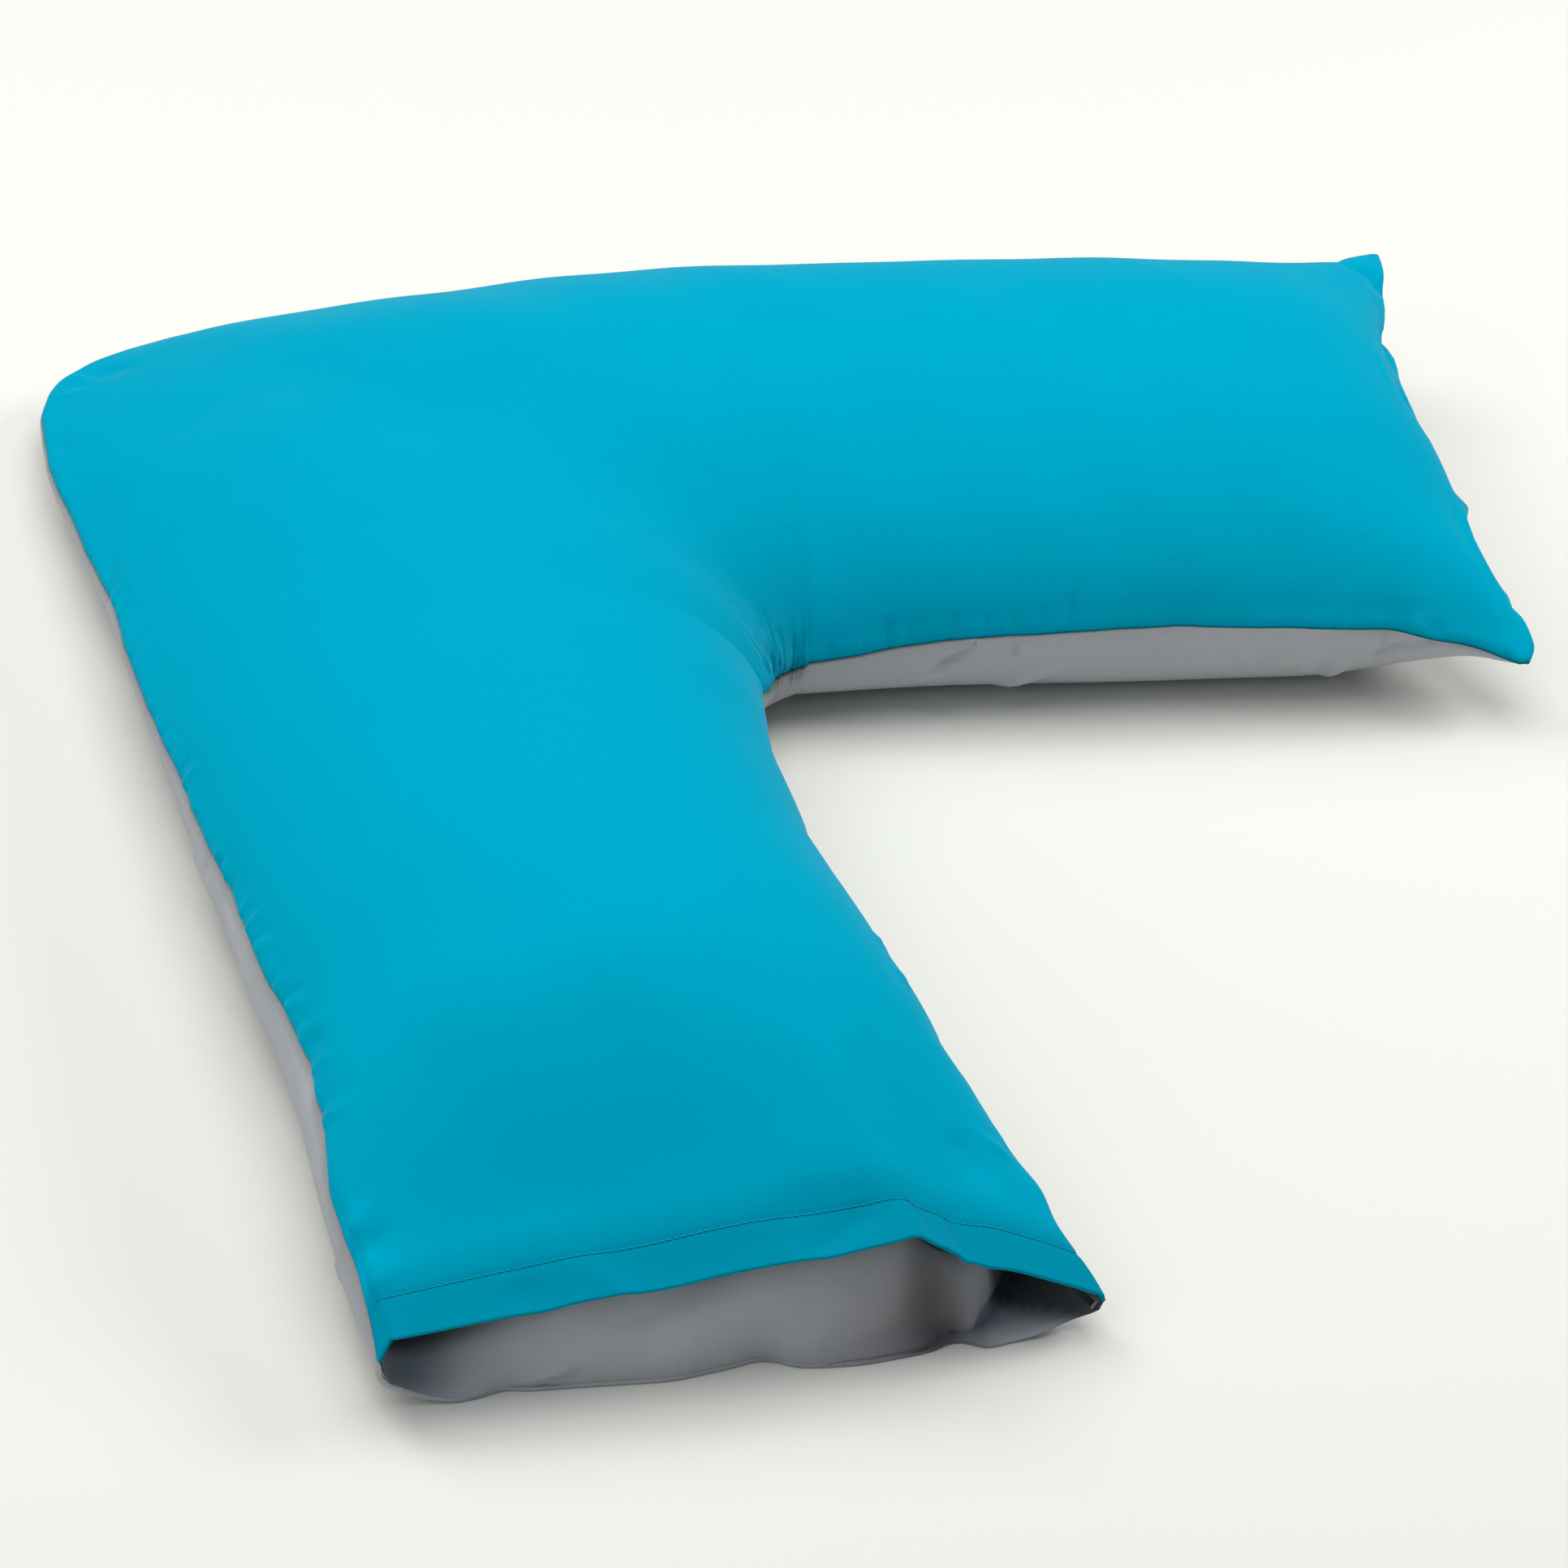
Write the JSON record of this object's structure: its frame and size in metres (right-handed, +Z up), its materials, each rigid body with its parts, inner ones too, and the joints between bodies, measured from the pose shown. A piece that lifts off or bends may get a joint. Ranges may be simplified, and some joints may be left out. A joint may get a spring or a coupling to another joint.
{
  "type": "v-shaped pillow",
  "caption": "V-shaped filled pillow in an open-ended two-colour cotton case, hemmed at one arm's mouth with the lower cloth turned in as a tuck-in flap.",
  "frame": {"origin": "middle of the bounding box in plan, on the surface the pillow lies on", "axes": "+Z up out of the pillow's face; the near arm with the open mouth points along -Y and lies at -X; the far arm with the closed end points towards +X, 84 degrees from it"},
  "size_m": [0.779, 0.8084, 0.1448],
  "materials": {
    "filled_pillow": "soft white cover over fibre filling",
    "top_panel": "smooth plain-weave cotton, turquoise",
    "bottom_panel": "smooth plain-weave cotton, grey"
  },
  "bodies": {
    "root": {"filled_pillow": "filled_pillow", "top_panel": "top_panel", "bottom_panel": "bottom_panel"}
  },
  "joints": []
}
